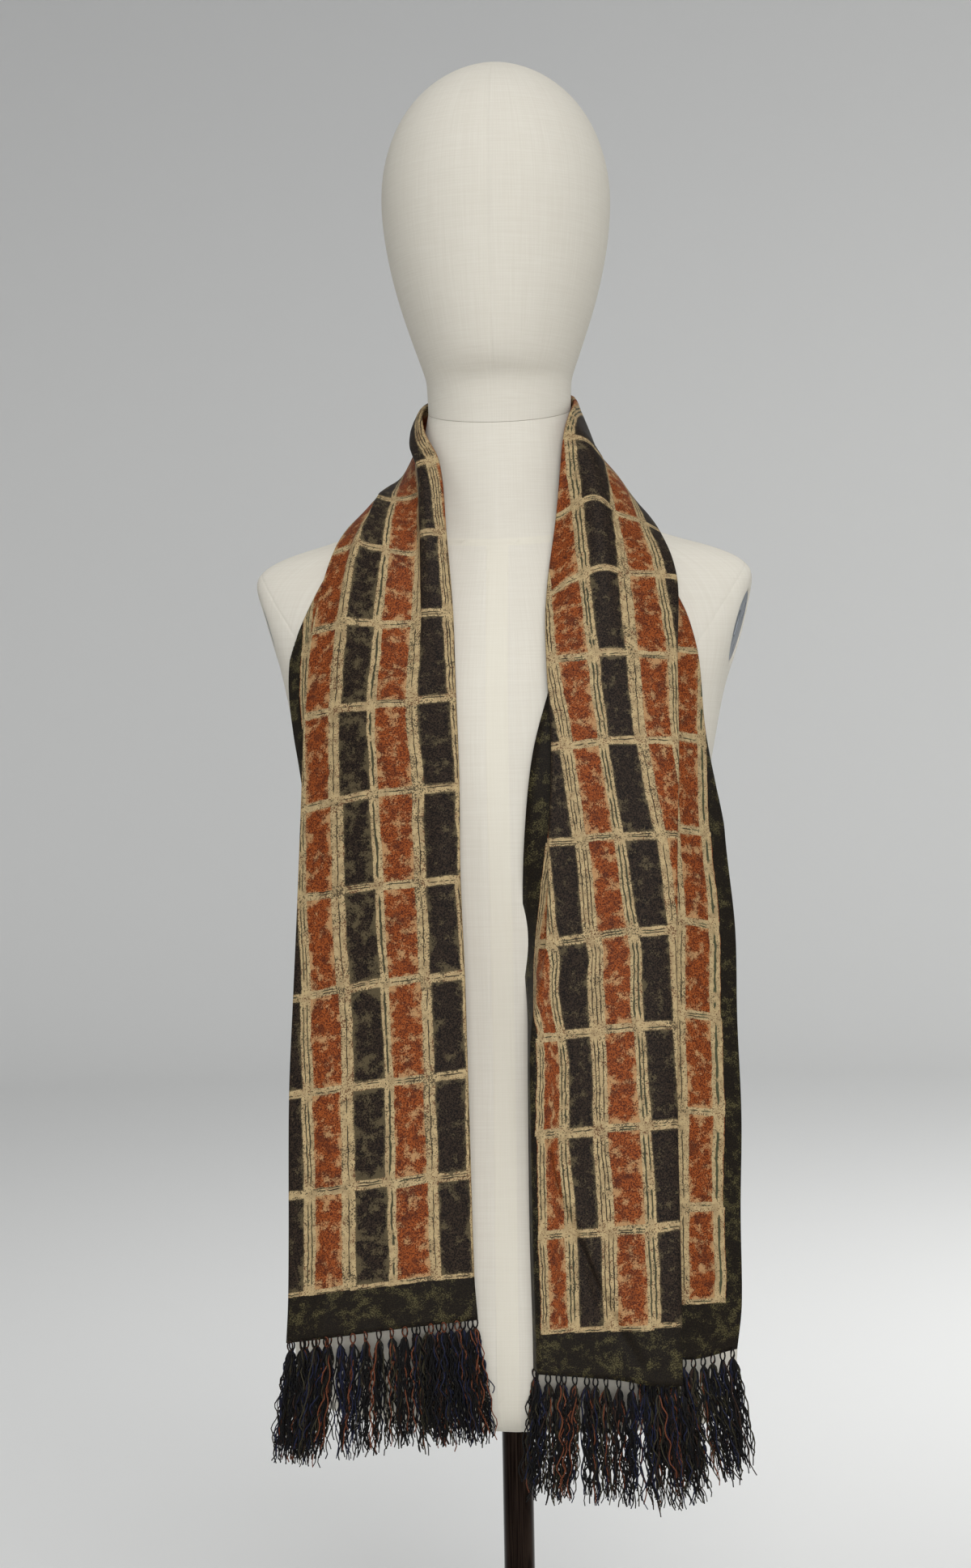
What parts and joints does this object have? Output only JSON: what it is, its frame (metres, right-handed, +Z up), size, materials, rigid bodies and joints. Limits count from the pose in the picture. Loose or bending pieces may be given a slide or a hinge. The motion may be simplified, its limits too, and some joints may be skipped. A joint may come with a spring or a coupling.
{
  "type": "fringed silk scarf on limbless dress form",
  "caption": "Long fringed silk scarf hung round the neck of a limbless dress form, its tails folded lengthwise and hanging free in front of the torso.",
  "frame": {"origin": "centre of the stand's underside, on the floor", "axes": "+Z up along the pole and the neck; the form faces -Y; +X is the viewer's right, the form's left"},
  "size_m": [0.38, 0.3, 1.2705],
  "materials": {
    "linen": "matt woven cover, off-white",
    "steel": "brushed",
    "chrome": "polished",
    "silk": "soft satin, rust and near-black checks on tan",
    "yarn": "matt twisted yarn"
  },
  "bodies": {
    "root": {"stand_base": "steel", "stand_pole": "chrome", "form_torso": "linen", "form_head": "linen", "arm_plate_left": "steel", "arm_plate_right": "steel", "scarf_left_tail": "silk", "scarf_neck": "silk", "scarf_right_tail": "silk", "fringe_left": "yarn", "fringe_right": "yarn"}
  },
  "joints": []
}
